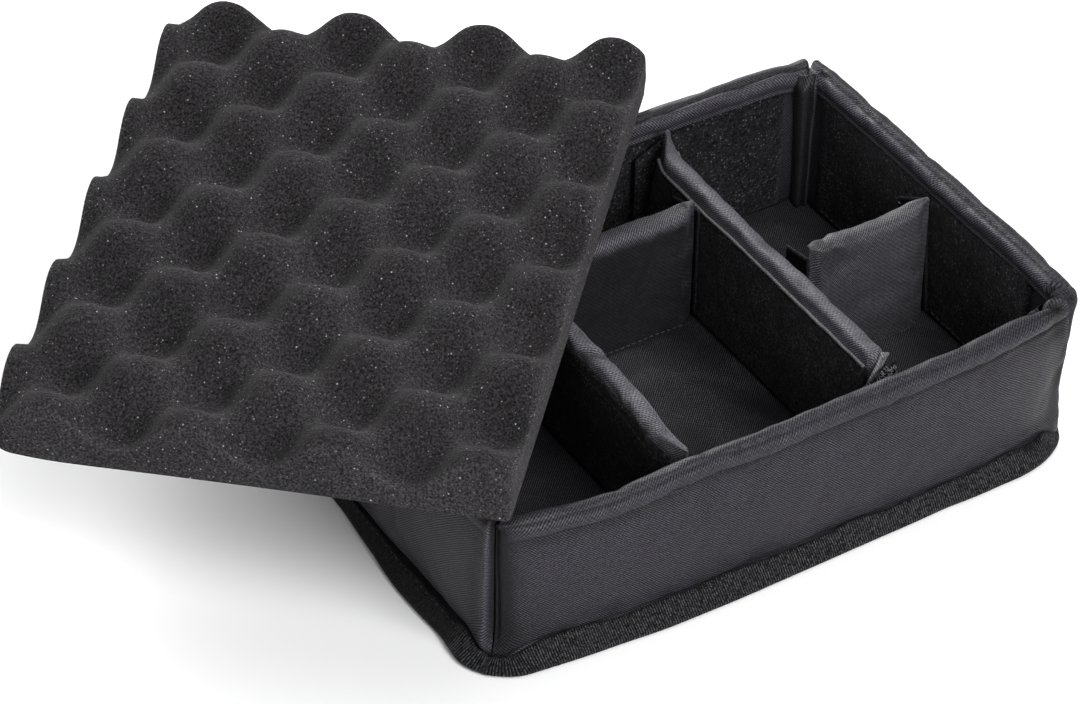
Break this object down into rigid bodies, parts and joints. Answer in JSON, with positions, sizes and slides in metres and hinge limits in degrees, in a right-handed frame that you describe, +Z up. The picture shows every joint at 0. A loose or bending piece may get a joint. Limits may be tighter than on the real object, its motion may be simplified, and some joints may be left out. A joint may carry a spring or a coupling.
{
  "type": "padded divider insert",
  "caption": "Open soft-sided padded tray with hook-and-loop dividers, and a loose egg-crate foam pad lying turned across its rim.",
  "frame": {"origin": "on the floor under the middle of the tray's wall rectangle, on the flat underside of the base", "axes": "+X along the front wall from left to right, +Y from the front wall to the rear wall, +Z up"},
  "size_m": [0.3911, 0.3234, 0.0946],
  "materials": {
    "nylon_twill": "satin",
    "nylon_lining": "satin",
    "loop_pile": "matte",
    "hook_tape": "matte",
    "binding_tape": "matte",
    "board_foam": "matte",
    "pad_foam": "matte"
  },
  "bodies": {
    "tray": {"base_bottom_cover": "nylon_lining", "base_foam": "board_foam", "floor_lining": "nylon_lining", "base_binding_tape": "binding_tape", "front_wall_cover": "nylon_twill", "front_wall_foam": "board_foam", "front_loop_lining": "loop_pile", "right_wall_cover": "nylon_twill", "right_wall_foam": "board_foam", "right_loop_lining": "loop_pile", "rear_wall_cover": "nylon_twill", "rear_wall_foam": "board_foam", "rear_loop_lining": "loop_pile", "left_wall_cover": "nylon_twill", "left_wall_foam": "board_foam", "left_loop_lining": "loop_pile"},
    "right_divider": {"right_divider_cover": "nylon_twill", "right_divider_foam": "board_foam", "right_divider_left_loop_face": "loop_pile", "right_divider_right_loop_face": "loop_pile", "right_divider_front_hook_tab": "hook_tape", "right_divider_rear_hook_tab": "hook_tape"},
    "left_divider": {"left_divider_cover": "nylon_twill", "left_divider_foam": "board_foam", "left_divider_left_loop_face": "loop_pile", "left_divider_right_loop_face": "loop_pile", "left_divider_front_hook_tab": "hook_tape", "left_divider_rear_hook_tab": "hook_tape"},
    "right_cross_divider": {"right_cross_divider_cover": "nylon_twill", "right_cross_divider_foam": "board_foam", "right_cross_divider_left_hook_tab": "hook_tape", "right_cross_divider_right_hook_tab": "hook_tape"},
    "rear_cross_divider": {"rear_cross_divider_cover": "nylon_twill", "rear_cross_divider_foam": "board_foam", "rear_cross_divider_left_hook_tab": "hook_tape", "rear_cross_divider_right_hook_tab": "hook_tape"},
    "foam_pad": {"foam_pad": "pad_foam"}
  },
  "joints": [
    {"name": "foam_pad_lift", "type": "slide", "parent": "tray", "child": "foam_pad", "axis": [0, 0, 1], "range_m": [0, 0.12]},
    {"name": "right_divider_lift", "type": "slide", "parent": "tray", "child": "right_divider", "axis": [0, 0, 1], "range_m": [0, 0.08]},
    {"name": "left_divider_shift", "type": "slide", "parent": "tray", "child": "left_divider", "axis": [1, 0, 0], "range_m": [-0.045, 0]},
    {"name": "right_cross_shift", "type": "slide", "parent": "tray", "child": "right_cross_divider", "axis": [0, 1, 0], "range_m": [-0.06, 0.06]},
    {"name": "rear_cross_shift", "type": "slide", "parent": "tray", "child": "rear_cross_divider", "axis": [0, 1, 0], "range_m": [-0.1, 0.02]}
  ]
}
